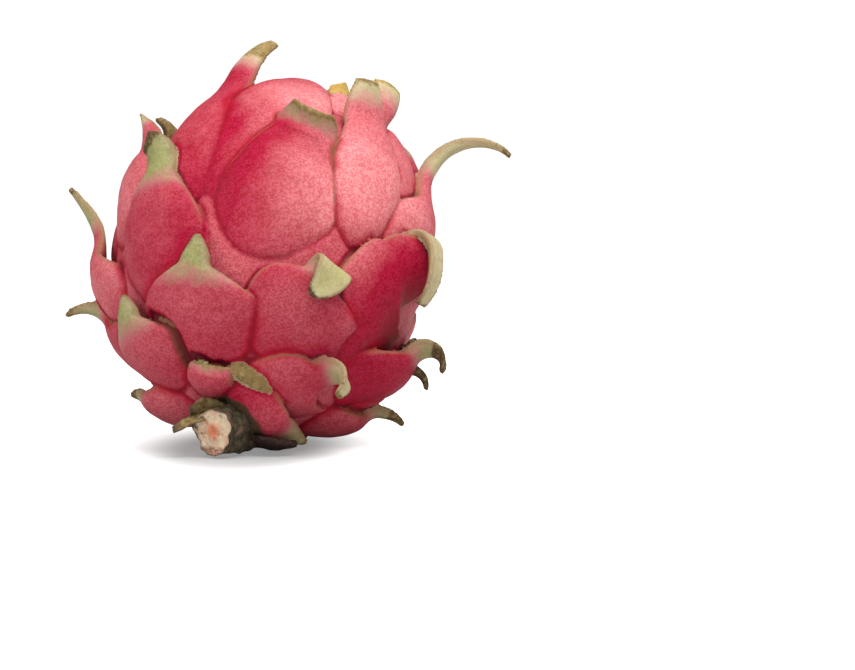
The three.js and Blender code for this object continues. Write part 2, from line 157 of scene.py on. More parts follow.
SCALES = [
    # The upper front: a broad pad, the tall tip at its left, the scale with the cut-off tip, and
    # two upright tips at its right, one before the other.
    scale((-20, -14), (-7, 56), 45, (6, 18, 12), 2, look=(-8, -8, 0.6, 0.3, (-0.7, 1.1))),
    scale((-39, -18), (-40, 34), 30, (36, 13, 4.2), 2, (40, -36), (8, 8), twist=22, shoulder=1.2,
          look=(13, 11.5, 0.1, 0.05, (0.08, 0.08))),
    scale((-4, -32), (2, 18), 39, (9.7, 20, 12.5), 3, (60, 50), turn=6, shoulder=1.0, saddle=0.6,
          look=(2.5, 1.6, 0.8, 0.2, (-0.45, 0.95))),
    scale((33, -20), (28, 33.6), 27, (18.5, 17, 8.4), 3.2, (52, -4), (-16, 0), root=1.5,
          look=(5, 1.6, 0.15, 0.2, (1.0, 1.0))),
    scale((37, -2), (34.5, 39.9), 19, (23.2, 6.5, 10.1), 1.8, (62, -38), (16, -18), root=1.5,
          bulge=1.8,
          look=(6, 2.2, 0.1, -0.3, (1.0, 0.9))),
    # The long tip at the right, and the pad behind it.
    scale((58, -18), (64, 24), 40, (46, 9.5, 2), 2.5, (75, 90), (0, 30), shoulder=1.1, bulge=2,
          taper=1.8, look=(31, 3, 0.15, 0.5, (1.0, 0.5))),
    scale((49, 2), (50, 50), 32, (3, 14, 10), 0.5, bulge=1.6, look=(-8, -8, 0.5, 0.5, (0.9, 0.4))),
    # The lower front, left of the middle.
    scale((-43, -50), (-46, -2), 34, (14, 12, 7), 4, (20, 50), (-12, -45), tier=2,
          look=(16, 2.5, 0.9, 0.8, (0.15, 0.0))),
    scale((-23, -69), (-25, -36), 41, (9.2, 10.5, 1.8), 3.4, turn=5, root=4, tier=2,
          look=(11, 0.8, 0.9, 0.4, (0.1, 0.1))),
    scale((-71, -75), (-66, -48), 35, (8, 12, 2), 4, (-5, -5), (4, 4), tier=1,
          look=(9.5, 0.6, 0.8, 0.3, (0.2, 0.2))),
    # The left side.
    scale((-82, -48), (-93, -17), 24, (36.5, 11, 2), 5.7, (38, 14), taper=1.5,
          look=(20, 3, 0.7, 0.6, (0.5, 0.5))),
    scale((-92, -63), (-97, -41), 24, (20, 9, 1.5), 3, (60, 70), bulge=1.6,
          look=(12, 2, 0.6, 0.5, (0.12, 0.12))),
    scale((-68, -22), (-74, 15), 26, (31, 16, 0.8), 2.8, (25, 15), (-20, -14), twist=20,
          bulge=2.2, taper=1.2, look=(5, 1, 0.3, 0.3, (0.9, 0.4))),
    scale((-100, 0), (-92, 36), 24, (12, 14, 8), 3, (70, 50), (20, 10),
          look=(14, 11, 0.7, 0.5, (0.12, 0.12))),
    # A small yellow tip at the top.
    scale((16, 34), (20, 60), 18, (9, 9, 6), 0.6, (45, 40), (-20, -30), bulge=0.8,
          look=(9, 7, 0.2, -0.5, (0.9, 0.9))),
    # The lower front, right of the middle: a folded tip, and a scale with a rolled rim.
    scale((30, -62), (24.5, -31), 39, (18, 13, 2.5), 3, (130, 110, 0, -20), (0, 0, -20, -10),
          turn=16, root=4, shoulder=3.2, taper=0.6, look=(15, 1.2, 0.6, 0.9, (0.1, 0.1))),
    # Its right side is painted deep dark red: painted shade under its rolled tip.
    scale((62, -50), (51, -15), 38, (13.5, 22, 12), 3, (30, 10, 10, 0), turn=50, shoulder=2.8,
          taper=0.6, look=(-6, -8, 0.25, 0.5, (0.4, -1.2))),
    scale((68, -36), (56, -4.5), 9, (34, 7, 5), 1.5, (170, 85, 20, 35), bulge=0.6,
          look=(29, 1, 0.25, 0.5, (-0.3, -0.5))),
    # The right side.
    scale((86, -56), (82, -30), 32, (17, 13, 3), 7, (90, 110),
          look=(13, 8, 0.6, 0.8, (-0.1, -0.3))),
    scale((106, -54), (94, -33), 24, (15, 8, 2.5), 4, (90, 80),
          look=(14, 12, 0.6, 0.9, (0.12, 0.12))),
    scale((104, -42), (97, -19), 28, (4, 12, 8), 3, (20, 10), look=(6, 4, 0.5, 0.9, (0.12, 0.12))),
    scale((60, -77), (48, -57), 34, (18, 11, 3), 3, (110, 80), turn=35,
          look=(12, 1, 0.4, 0.4, (0.12, 0.12))),
    scale((118, -66), (110, -45), 24, (16, 9, 2), 5, (60, 40),
          look=(11, 6, 0.6, 0.7, (0.12, 0.12))),
    # Round the stem stub, and below it.
    scale((-34, -82), (-18, -68), 14, (2.5, 13, 11), 3.5, (10, 0), bulge=2.6, tier=1,
          look=(-2, 0.6, 0.6, 0.2, (0.2, 0.1))),
    scale((20, -79), (24, -68.3), 22, (3, 20, 9), 2, (10, 0), bulge=1.5,
          look=(7, 4.6, 0.4, 0.25, (0.5, 0.5))),
    scale((-6, -67.5), (61, -74.5), 15, (14, 11, 2), 6, sway=(4, -20), root=4, bulge=3.5,
          look=(9, 2, 0.9, 0.3, (0.0, 0.0))),
    scale((-85, -84), (-118, -62), 20, (9, 8, 2), 4, (20, 20), look=(7, 4, 0.6, 0.6, (0.3, 0.3))),
    scale((150, -84), (158, -48), 34, (9, 12, 4), 3, (30, 20)),
]

# Rings of like scales round the hidden side. root and shoulder are the latitudes of the pad's two
# ends, first and step the longitudes.
RINGS = [
    dict(root=-52, shoulder=-25, first=142, step=44, count=3, width=32, tip=15, curl=60),
    dict(root=-26, shoulder=10, first=122, step=43, count=4, width=36, tip=17, curl=40),
    dict(root=0, shoulder=36, first=104, step=46, count=4, width=36, tip=20, curl=45),
    dict(root=30, shoulder=60, first=84, step=42, count=5, width=28, tip=9, curl=0),
    dict(root=55, shoulder=76, first=30, step=72, count=4, width=19, tip=6, curl=15),
]


def ring_scales():
    """The rings' scales, each a little unlike its neighbours."""
    made = []
    for r, ring in enumerate(RINGS):
        for i in range(ring["count"]):
            def wave(k):
                """A number from -1 to 1 that changes from scale to scale."""
                return math.sin(2.7 * i + 1.9 * r + k)

            longitude = ring["first"] + ring["step"] * i
            made.append(scale(
                (longitude + 3 * wave(1), ring["root"] + 3 * wave(2)),
                (longitude + 4 * wave(3), ring["shoulder"] + 3 * wave(4)),
                ring["width"] + 3 * wave(5),
                (ring["tip"] + 3 * wave(6), 10 + 2 * wave(7), 2.5 + wave(8)),
                2.5 + 0.8 * wave(9),
                (ring["curl"] + 10 * wave(10), ring["curl"] * 0.6 + 10 * wave(11)),
                (6 * wave(12), 6 * wave(13)),
                look=(9 + 3 * wave(14), 2 + wave(15), 0.6 + 0.3 * wave(16), 0.4 + 0.3 * wave(17),
                      (0.35 + 0.3 * wave(18), 0.35 + 0.3 * wave(19))),
            ))
    return made


ALL_SCALES = SCALES + ring_scales()


def curve_at(angles, t):
    """How fast a curve turns at t, in radians for its whole length, from its stretches' angles."""
    return math.radians(angles[int(t * len(angles))]) * len(angles)


def scale_grids(s):
    """A scale's upper and lower skins as grids of points, with each row's place along the scale
    (0 to 1 the pad, 1 to 2 the tip), distance left to the tip's end and half width, and each
    column's place across it (-1 left, 1 right)."""
    a, b = direction(*s.start), direction(*s.to)
    angle = math.acos(a @ b)
    tip_length, tip_width, end_width = s.tip
    width, lift = s.width, s.lift
    v = np.linspace(-1, 1, COLUMNS)
    crown = (1 - np.abs(v) ** 2.6) ** 0.8
    dome = (1 - np.abs(v) ** 2.2) ** 1.15

    def place_at(t):
        return on_skin(math.sin((1 - t) * angle) * a + math.sin(t * angle) * b)

    upper, lower, rows, halves = [], [], [], []
    for i in range(CUSHION_ROWS + 1):
        t = i / CUSHION_ROWS
        place = place_at(t)
        normal = skin_normal(place)
        along = place_at(t + 0.001) - place
        along = unit(along - along @ normal * normal)
        if t < 0.5:
            swell = (1 - (1 - 2 * t) ** s.root) ** (1 / s.root)
            half = width / 2 * (ROOT_WIDTH + (1 - ROOT_WIDTH) * swell)
            bulge = s.bulge * swell
        else:
            half = width / 2 + (tip_width / 2 - width / 2) * (2 * t - 1) ** s.shoulder
            bulge = s.bulge + (TIP_CROWN[0] - s.bulge) * ease(2 * t - 1)
            bulge *= 1 - s.saddle * math.exp(-(((t - SADDLE_PLACE) / SADDLE_REACH) ** 2))
        along = turned(along, normal, -math.radians(s.turn) * ease(2 * t - 1))
        side = np.cross(along, normal)
        edge = -CUSHION_EDGE_SINK + (lift + CUSHION_EDGE_SINK) * ease(t)
        undercut = ease((t - UNDERCUT_START) / UNDERCUT_REACH)
        under = -CUSHION_SINK + (edge - TIP_THICKNESS[0] + CUSHION_SINK) * undercut
        q = on_skin(place + v[:, None] * half * side)
        n = skin_normal(q)
        shape = dome + (crown - dome) * ease(2 * t - 1)
        upper.append(q + n * (edge + bulge * shape)[:, None])
        lower.append(q + n * under)
        rows.append(t)
        halves.append(half)
    steps = np.diff([place_at(k / 8) for k in range(9)], axis=0)
    pad_length = np.linalg.norm(steps, axis=1).sum()
    spine = place + normal * lift
    step = tip_length / TIP_ROWS
    for i in range(1, TIP_ROWS + 1):
        t, middle = i / TIP_ROWS, (i - 0.5) / TIP_ROWS
        free = ease(middle / TIP_FREE_FROM)
        bend = curve_at(s.curl, middle) * free / TIP_ROWS - step / BODY_RADIUS * (1 - free)
        side = np.cross(along, normal)
        along, normal = turned(along, side, bend), turned(normal, side, bend)
        along = turned(along, normal, -curve_at(s.sway, middle) / TIP_ROWS)
        normal = turned(normal, along, math.radians(s.twist) / TIP_ROWS)
        side = np.cross(along, normal)
        spine = spine + along * step
        taper = (1 - t) ** s.taper
        half = max(LEAST_HALF_WIDTH, tip_width / 2 * taper + end_width / 2 * (1 - taper)
                   + TIP_SWELL * tip_width * math.sin(math.pi * t))
        thick = TIP_THICKNESS[0] * (1 - t) + TIP_THICKNESS[1] * t
        rise = TIP_CROWN[0] * (1 - t) + TIP_CROWN[1] * t
        x = v * half
        drop = x * x * (1 - t) / (2 * BODY_RADIUS)
        drop = drop + TIP_DROOP * np.abs(v) ** 1.6 * half * ease(1.5 * t)
        q = spine + x[:, None] * side - drop[:, None] * normal
        upper.append(q + normal * (rise * crown)[:, None])
        lower.append(q - normal * (thick + TIP_BELLY * (1 - t) * crown)[:, None])
        rows.append(1 + t)
        halves.append(half)
    rows = np.array(rows)
    left = np.where(rows < 1, tip_length + (1 - rows) * pad_length, (2 - rows) * tip_length)
    return np.array(upper), np.array(lower), rows, left, np.array(halves), v


def shell_faces(rows, columns, first=0):
    """Faces of a closed shell between two grids, the upper one numbered first."""
    def top(i, j):
        return first + i * columns + j

    def base(i, j):
        return first + (rows + i) * columns + j

    faces = []
    for i in range(rows - 1):
        for j in range(columns - 1):
            faces.append((top(i, j), top(i, j + 1), top(i + 1, j + 1), top(i + 1, j)))
            faces.append((base(i, j), base(i + 1, j), base(i + 1, j + 1), base(i, j + 1)))
        faces.append((top(i, 0), top(i + 1, 0), base(i + 1, 0), base(i, 0)))
        k = columns - 1
        faces.append((top(i, k), base(i, k), base(i + 1, k), top(i + 1, k)))
    for j in range(columns - 1):
        k = rows - 1
        faces.append((top(0, j), base(0, j), base(0, j + 1), top(0, j + 1)))
        faces.append((top(k, j), top(k, j + 1), base(k, j + 1), base(k, j)))
    return faces


# -------- mesh helpers


def shade_smooth(mesh):
    mesh.polygons.foreach_set("use_smooth", [True] * len(mesh.polygons))


def mesh_object(name, points, faces):
    """Points are in millimetres from the berry's centre."""
    mesh = bpy.data.meshes.new(name)
    mesh.from_pydata(((np.asarray(points) + CENTRE) * MM).tolist(), [], [list(f) for f in faces])
    mesh.update()
    shade_smooth(mesh)
    made = bpy.data.objects.new(name, mesh)
    bpy.context.scene.collection.objects.link(made)
    return made


def points_of(made):
    co = np.empty(len(made.data.vertices) * 3)
    made.data.vertices.foreach_get("co", co)
    return co.reshape(-1, 3) / MM - CENTRE


def set_points(made, points):
    made.data.vertices.foreach_set("co", ((points + CENTRE) * MM).ravel())
    made.data.update()


def edges_of(made):
    e = np.empty(len(made.data.edges) * 2, dtype=np.int64)
    made.data.edges.foreach_get("vertices", e)
    return e.reshape(-1, 2)


def neighbour_mean(values, edges, count):
    """The mean of each point's neighbours, column by column."""
    out = np.zeros_like(values)
    for k in range(values.shape[1]):
        out[:, k] = np.bincount(edges[:, 0], values[edges[:, 1], k], len(values))
        out[:, k] += np.bincount(edges[:, 1], values[edges[:, 0], k], len(values))
    return out / count[:, None]


def smoothed(values, edges, rounds, share):
    """Values drawn towards their neighbours' mean, by a share in each round."""
    count = np.maximum(np.bincount(edges.ravel(), minlength=len(values)), 1)
    for _ in range(rounds):
        values = values + share * (neighbour_mean(values, edges, count) - values)
    return values


def apply_modifier(made, kind, **settings):
    """Puts the modifier's result in place of the object's mesh."""
    modifier = made.modifiers.new(kind, kind)
    for key, value in settings.items():
        setattr(modifier, key, value)
    shaped = made.evaluated_get(bpy.context.evaluated_depsgraph_get())
    mesh = bpy.data.meshes.new_from_object(shaped)
    made.modifiers.clear()
    old = made.data
    made.data = mesh
    bpy.data.meshes.remove(old)


def tube_faces(rings, sides, clockwise=False):
    """Faces of a closed tube of rings of points, with a flat cap at each end."""
    faces = []
    for i in range(rings - 1):
        for j in range(sides):
            here, beside = i * sides + j, i * sides + (j + 1) % sides
            if clockwise:
                faces.append((here, here + sides, beside + sides, beside))
            else:
                faces.append((here, beside, beside + sides, here + sides))
    first = list(range(sides))
    last = [(rings - 1) * sides + j for j in range(sides)]
    (last if clockwise else first).reverse()
    return faces + [first, last]


def vertex_normals(made):
    n = np.empty(len(made.data.vertices) * 3)
    made.data.vertex_normals.foreach_get("vector", n)
    return n.reshape(-1, 3)


def write(made, name, values):
    """Keeps a number for each vertex, for the material to read."""
    layer = made.data.attributes.new(name, "FLOAT", "POINT")
    layer.data.foreach_set("value", np.asarray(values, dtype=np.float32))


# -------- the fruit


# What each point of the skin is told, with its values on the bare berry: its place along its scale,
# how many millimetres it is inside the green and the dried end, how green and how brown those are,
# whether it is on the scale's inner side, its distance from the scale's margin, and how pale it is.
BARE_SKIN = dict(row=0, green=-12, dried=-12, tone=0.6, brown=0.3, inner=0, margin=12, pale=0.95)
END_REACH = 12
BERRY_SUBDIVISIONS = 6
VOXEL = 0.55
MOST_VERTICES = 95000
# The skin asks what it is from a little outside itself, so that no covered scale answers.
OUTWARD = 0.4
SEAM_DEPTH, SEAM_WIDTH = 0.45, 0.75
CREASE_DEPTH, CREASE_WIDTH = 1.3, 1.5
SEAM_REACH, SEAM_KEPT = 9, 6
SHRINK, REGROW = 0.6, -0.62
HOLLOW_ROUNDS, HOLLOW_MOST = 40, 2
PIT_DEPTH, PIT_RADIUS, PIT_SLOPE = 4.5, 5, 7
WITHERED_GAP, WITHERED_REACH = 0.5, 5


def scale_facts(s, rows, left, halves, v, inner):
    """What the points of one side of a scale are told, in the order of BARE_SKIN."""
    green, dried, tone, brown, pale = s.look
    row = np.repeat(rows, COLUMNS)
    from_end = np.repeat(left, COLUMNS)
    across = np.tile(v, len(rows))
    margin = np.repeat(halves, COLUMNS) * (1 - np.abs(across))
    one = np.ones_like(row)
    dry_rim = min(dried, 1.2) - 0.6 - 1.5 * margin - 0.12 * from_end
    return np.column_stack([
        row, green - from_end, np.maximum(dried - from_end, dry_rim), tone * one, brown * one,
        inner * one, margin, pale[0] + (pale[1] - pale[0]) * (across + 1) / 2,
    ])


def distance_to_seam(points, edges, meets):
    """How far each point is, along the skin, from the edges that are marked in meets."""
    reach = np.where(np.isin(np.arange(len(points)), edges[meets]), 0.0, float(SEAM_REACH))
    length = np.linalg.norm(points[edges[:, 0]] - points[edges[:, 1]], axis=1)
    for _ in range(SEAM_REACH):
        for one, other in ((0, 1), (1, 0)):
            np.minimum.at(reach, edges[:, one], reach[edges[:, other]] + length)
    return smoothed(reach[:, None], edges, 3, 0.5)[:, 0]


def free_share(told):
    """1 on the free tips and 0 on the pads and the bare berry."""
    return ease((told[:, 0] - 1.0) / 0.35)


def ripples(points, size, seed):
    place = points / size + seed
    return np.array([noise.noise(Vector(p)) for p in place.tolist()])


def shells():
    """The berry and every scale as closed shells: their points and faces, what each point is told,
    and whose each face is (0 the berry's)."""
    ball = bmesh.new()
    bmesh.ops.create_icosphere(ball, subdivisions=BERRY_SUBDIVISIONS, radius=1.0)
    points = [on_skin(np.array([v.co[:] for v in ball.verts]))]
    faces = [tuple(v.index for v in f.verts) for f in ball.faces]
    ball.free()
    total = len(points[0])
    facts = [np.tile(list(BARE_SKIN.values()), (total, 1)).astype(float)]
    owners = [np.zeros(len(faces), dtype=int)]
    for k, s in enumerate(ALL_SCALES):
        upper, lower, rows, left, halves, v = scale_grids(s)
        made = shell_faces(len(rows), COLUMNS, total)
        faces += made
        owners.append(np.full(len(made), k + 1))
        points += [upper.reshape(-1, 3), lower.reshape(-1, 3)]
        total += upper.size // 3 * 2
        facts += [scale_facts(s, rows, left, halves, v, inner) for inner in (0.0, 1.0)]
    return np.vstack(points), faces, np.vstack(facts), np.concatenate(owners)


def teller(points, faces, facts, owners):
    """A function that gives, for each of some places, what the nearest shell is told there, and
    whose shell it is."""
    triangles, parent = [], []
    for k, f in enumerate(faces):
        triangles.append((f[0], f[1], f[2]))
        parent.append(k)
        if len(f) == 4:
            triangles.append((f[0], f[2], f[3]))
            parent.append(k)
    tree = BVHTree.FromPolygons(points.tolist(), triangles)
    triangles = np.array(triangles)
    owners = owners[parent]

    def told_at(places):
        hit = np.empty(len(places), dtype=np.int64)
        spot = np.empty((len(places), 3))
        for k, p in enumerate(places.tolist()):
            spot[k], _, hit[k], _ = tree.find_nearest(p)
        a, b, c = (points[triangles[hit, k]] for k in range(3))
        area = np.linalg.norm(np.cross(b - a, c - a), axis=1) + 1e-12
        wa = np.linalg.norm(np.cross(b - spot, c - spot), axis=1) / area
        wb = np.linalg.norm(np.cross(c - spot, a - spot), axis=1) / area
        wc = np.clip(1 - wa - wb, 0, 1)
        told = sum(w[:, None] * facts[triangles[hit, k]] for k, w in enumerate((wa, wb, wc)))
        return told, owners[hit]

    return told_at


def carve_seams(made, told_at):
    """Smooths the welded skin, and sinks soft seams and creases where scales meet."""
    skin, edges = points_of(made), edges_of(made)
    told, owner = told_at(skin + OUTWARD * vertex_normals(made))
    fixed = 1 - free_share(told)
    tier = np.array([0] + [s.tier for s in ALL_SCALES])[owner]
    one, other = edges[:, 0], edges[:, 1]
    seam = distance_to_seam(skin, edges, owner[one] != owner[other])
    crease = distance_to_seam(skin, edges, tier[one] * tier[other] == 2)
    calm = smoothed(skin, edges, 6, 0.5)
    for _ in range(3):
        skin = smoothed(smoothed(skin, edges, 1, SHRINK), edges, 1, REGROW)
    skin = skin + (calm - skin) * fixed[:, None]
    set_points(made, skin)
    normal = vertex_normals(made)
    dent = -SEAM_DEPTH * (0.7 + 0.6 * ripples(skin, 12.0, 5.0))
    dent = dent * np.exp(-((seam / SEAM_WIDTH) ** 2)) * fixed
    dent -= CREASE_DEPTH * np.exp(-((crease / CREASE_WIDTH) ** 2))
    dent += 0.35 * ripples(skin, 9.0, 3.0) * fixed + 0.12 * ripples(skin, 3.5, 7.0)
    set_points(made, skin + normal * dent[:, None])
    write(made, "seam", np.clip(seam, 0, SEAM_KEPT))
    write(made, "crease", np.clip(crease, 0, SEAM_KEPT))
    write(made, "fringe", tier == 1)


def build_fruit():
    points, faces, facts, owners = shells()
    made = mesh_object("fruit_skin", points, faces)
    told_at = teller(points, faces, facts, owners)
    apply_modifier(made, "REMESH", mode="VOXEL", voxel_size=VOXEL * MM)
    carve_seams(made, told_at)
    share = min(1.0, MOST_VERTICES / len(made.data.vertices))
    apply_modifier(made, "DECIMATE", ratio=share)

    skin, edges, normal = points_of(made), edges_of(made), vertex_normals(made)
    told, _ = told_at(skin + OUTWARD * normal)
    height = skin @ AXIS
    off_axis = np.linalg.norm(skin - height[:, None] * AXIS, axis=1)
    pit = (1 - ease((off_axis - PIT_RADIUS) / PIT_SLOPE)) * (height > 0) * (1 - free_share(told))
    skin = skin - AXIS * (PIT_DEPTH * pit)[:, None]
    hollow = ((smoothed(skin, edges, HOLLOW_ROUNDS, 0.6) - skin) * normal).sum(axis=1)
    skin[:, 2] = np.maximum(skin[:, 2], -REST_HEIGHT)
    set_points(made, skin)
    shade_smooth(made.data)

    told[:, 1:3] = np.clip(told[:, 1:3], -END_REACH, END_REACH)
    for k, name in enumerate(BARE_SKIN):
        write(made, name, told[:, k])
    write(made, "hollow", np.clip(hollow, -HOLLOW_MOST, HOLLOW_MOST))
    write(made, "free", free_share(told))
    # Withered skin round the stub, darkened there as painted shade too.
    by_stub = 1 - ease((stub_distance(skin) - WITHERED_GAP) / WITHERED_REACH)
    write(made, "withered", np.maximum(by_stub, 0.8 * pit))
    return made


# -------- the stem stub

STEM_PATH = np.array([
    [-1.5, -25, -44.3], [-6.3, -34, -45.8], [-10.6, -42, -46.6], [-14.2, -48, -46.9],
])
STEM_RADII = (9.4, 8.2, 7.3, 7.1)
STEM_WAIST = 6.6
STEM_SIDES = 96
STEM_RINGS = 56
FACE_RINGS = 22
BARK_RELIEF, BARK_SIZE = 0.45, 1.6
KNOB_RELIEF, KNOB_SIZE = 0.7, 4.0
FRAY = 0.9
STEM_CLEARANCE = 0.05
BRACT_ROWS, BRACT_COLUMNS = 40, 17
# The withered bracts on the stub: each has stations of a point and a half width, the way its
# width runs, and its thickness.
BRACTS = [
    # The first lies under the fruit's foot and is painted very dark: painted shadow.
    dict(stations=[(-8, -35, -49.2, 4), (-3, -39, -50.7, 4.5), (2.5, -41, -51.4, 4),
                   (6.5, -40.5, -51.7, 3), (9.5, -38.5, -51.8, 1.5)],
         across=(0.15, -0.85, 0.35), thickness=2.4),
    dict(stations=[(-9, -36, -43.5, 4), (-13.5, -39.5, -42, 4), (-18, -43, -42.8, 3.6),
                   (-22.2, -45.5, -44.3, 3), (-25.8, -47, -46.3, 1.8)],
         across=(0.15, -0.95, -0.25), thickness=1.6),
    dict(stations=[(-11, -36.5, -42.5, 2.6), (-14, -38.5, -40.6, 2.8), (-17.5, -41, -40.2, 2.6),
                   (-21.3, -42.8, -41.6, 1.6)],
         across=(-0.1, -0.45, 0.9), thickness=1.3),
]


def curve_through(points, t):
    """A smooth curve through the points, at shares t of its length in steps."""
    points = np.asarray(points, float)
    last = len(points) - 1
    padded = np.vstack([2 * points[0] - points[1], points, 2 * points[-1] - points[-2]])
    out = []
    for share in np.atleast_1d(t):
        k = min(int(share * last), last - 1)
        x = share * last - k
        p0, p1, p2, p3 = padded[k:k + 4]
        out.append(0.5 * (
            2 * p1 + (p2 - p0) * x + (2 * p0 - 5 * p1 + 4 * p2 - p3) * x * x
            + (3 * p1 - p0 - 3 * p2 + p3) * x**3
        ))
    return np.array(out)


def stub_distance(points):
    """How far points are from the stub's bark."""
    path = curve_through(STEM_PATH, np.linspace(0, 1, 24))
    gap = np.linalg.norm(points[:, None] - path[None], axis=2)
    return gap.min(axis=1) - STEM_WAIST


def round_noise(around, size, seed):
    """Noise that closes on itself round a ring."""
    return np.array([
        noise.noise(Vector((math.cos(a) * size, math.sin(a) * size, seed))) for a in around
    ])


def build_stub():
    """The cut stem: wrinkled bark, a cracked cut face, and the withered bracts."""
    shares = np.linspace(0, 1, STEM_RINGS + 1)
    middle = curve_through(STEM_PATH, shares)
    ahead = unit(np.gradient(middle, axis=0))
    side = unit(np.cross(ahead, (0, 0, 1)))
    up = np.cross(side, ahead)
    around = np.linspace(0, 2 * math.pi, STEM_SIDES, endpoint=False)
    lobes = 1 + 0.06 * np.sin(3 * around + 0.6) + 0.04 * np.sin(5 * around)
    turn = around[None, :, None]
    spokes = side[:, None] * np.cos(turn) + up[:, None] * np.sin(turn)
    radius = np.interp(shares * 3, range(4), STEM_RADII)[:, None] * lobes
    rough = middle[:, None] + spokes * radius[..., None]
    bark = ripples(rough.reshape(-1, 3) * (1, 0.45, 0.45), BARK_SIZE, 11.0).reshape(radius.shape)
    knobs = ripples(rough.reshape(-1, 3), KNOB_SIZE, 2.0).reshape(radius.shape)
    radius = radius + BARK_RELIEF * bark + KNOB_RELIEF * knobs - 0.5
    fray = FRAY * round_noise(around, 3, 4.0)
    rows = [middle[i] + spokes[i] * radius[i][:, None] for i in range(STEM_RINGS + 1)]
    rows[-1] = rows[-1] + ahead[-1] * fray[:, None]
    # Whether a ring is on the cut face, and its share of the stub's radius there.
    kinds = [(0.0, 1.0)] * (STEM_RINGS + 1)
    for k in range(1, FACE_RINGS):
        ray = 1 - k / FACE_RINGS
        ring = middle[-1] + spokes[-1] * (radius[-1] * ray)[:, None]
        relief = 0.55 * ripples(ring, 2.2, 21.0) + 0.3 * ripples(ring, 0.9, 5.0)
        relief -= 0.9 * (1 - ray**4)
        relief += 0.9 * np.exp(-(((ray - 0.25) / 0.18) ** 2)) + fray * ray**3
        rows.append(ring + ahead[-1] * relief[:, None])
        kinds.append((1.0, ray))
    points = np.vstack(rows)
    cut = np.repeat([k[0] for k in kinds], STEM_SIDES)
    ray = np.repeat([k[1] for k in kinds], STEM_SIDES)
    faces = tube_faces(len(rows), STEM_SIDES, clockwise=True)
    leaf = np.zeros(len(points))
    for b, bract in enumerate(BRACTS):
        upper, lower = bract_grid(bract, 3.0 + b)
        faces += shell_faces(BRACT_ROWS, BRACT_COLUMNS, len(points))
        points = np.vstack([points, upper.reshape(-1, 3), lower.reshape(-1, 3)])
        share = np.tile(np.repeat(np.linspace(0, 1, BRACT_ROWS), BRACT_COLUMNS), 2)
        # 1 to 2 along a bract, and 2 to 3 along the first, which lies under the fruit's foot and is
        # painted very dark: a withered bract darkened as painted shadow.
        leaf = np.concatenate([leaf, 1 + share + (b == 0)])
        cut = np.concatenate([cut, np.zeros(len(share))])
        ray = np.concatenate([ray, np.ones(len(share))])
    points[:, 2] = np.maximum(points[:, 2], -REST_HEIGHT + STEM_CLEARANCE)
    made = mesh_object("stem_bark", points, faces)
    write(made, "cut", cut)
    write(made, "ray", ray)
    write(made, "mouldy", np.clip((STEM_PATH[-1][0] - points[:, 0] - 1) / 4, 0, 1))
    write(made, "leaf", leaf)
    write(made, "sole", np.clip((STEM_PATH[-1][2] - points[:, 2] - 3.2) / 3, 0, 1))
    return made


def wrinkles(along, across, seed):
    return np.array([noise.noise(Vector((along, x, seed))) for x in across])


def bract_grid(bract, seed):
    """A bract's upper and lower sides as grids of points."""
    shares = np.linspace(0, 1, BRACT_ROWS)
    place = curve_through(bract["stations"], shares)
    place, half = place[:, :3], place[:, 3]
    side = unit(np.array(bract["across"]))
    ahead = unit(np.gradient(place, axis=0))
    up = unit(np.cross(side, ahead))
    v = np.linspace(-1, 1, BRACT_COLUMNS)
    upper, lower = [], []
    for i, share in enumerate(shares):
        ragged = 1 + 0.22 * noise.noise(Vector((share * 7, seed, 0)))
        spread = place[i] + side * (v * half[i] * ragged)[:, None]
        curl = 0.6 * (1 - v * v) + 0.5 * wrinkles(share * 4, v * 1.5, seed + 9)
        wrinkle = 0.2 * wrinkles(share * 6, v * 6, seed + 5)
        thick = bract["thickness"] / 2 * (1 - 0.55 * v**4) * (1 - 0.4 * share)
        upper.append(spread + up[i] * (curl + wrinkle + thick)[:, None])
        lower.append(spread + up[i] * (curl + wrinkle - thick)[:, None])
    return np.array(upper), np.array(lower)


# -------- the flower scar

# Distances from the fruit's axis and heights over the cup's foot.
SCAR_PROFILE = [
    (6.5, 0), (7, 1.2), (6.7, 4.4), (5.4, 5.2), (4.2, 3.4), (2.8, 2.8), (2.1, 4.6),
    (1.8, 8.6), (1.1, 9.6), (0, 9.8),
]
SCAR_CENTRE = 0.2
SCAR_SIDES = 120
SCAR_SINK = 4.7


def build_scar():
    """The dried foot of the flower: a ragged cup of withered petal ends round a style stub."""
    profile = curve_through([(r, h, 0) for r, h in SCAR_PROFILE], np.linspace(0, 1, 72))[:, :2]
    profile = np.vstack([(SCAR_CENTRE, 0), profile])
    foot = AXIS * (BODY_HALF_LENGTH - SCAR_SINK)
    around = np.linspace(0, 2 * math.pi, SCAR_SIDES, endpoint=False)
    spokes = np.cos(around)[:, None] * FRONT + np.sin(around)[:, None] * RIGHT
    folds = 0.06 * np.sin(11 * around) + 0.04 * np.sin(17 * around + 1)
    torn = round_noise(around, 4, 1.0)
    rows = []
    for r, h in profile:
        rim = math.exp(-(((r - 6) / 1.2) ** 2)) * ease((h - 2) / 3)
        ring = spokes * (max(r, 0.02) * (1 + folds * ease((r - 2) / 4)))[:, None]
        ring = ring - 0.35 * spokes * ease(r / 6)
        ring = foot + ring + AXIS * (h + 1.3 * rim * torn)[:, None]
        ring = ring + spokes * (0.25 * ripples(ring, 1.5, 3.0) * ease(r / 2))[:, None]
        rows.append(ring)
    faces = tube_faces(len(rows), SCAR_SIDES)
    made = mesh_object("dried_flower_scar", np.vstack(rows), faces)
    write(made, "height", np.repeat(profile[:, 1], SCAR_SIDES))
    return made


# -------- materials


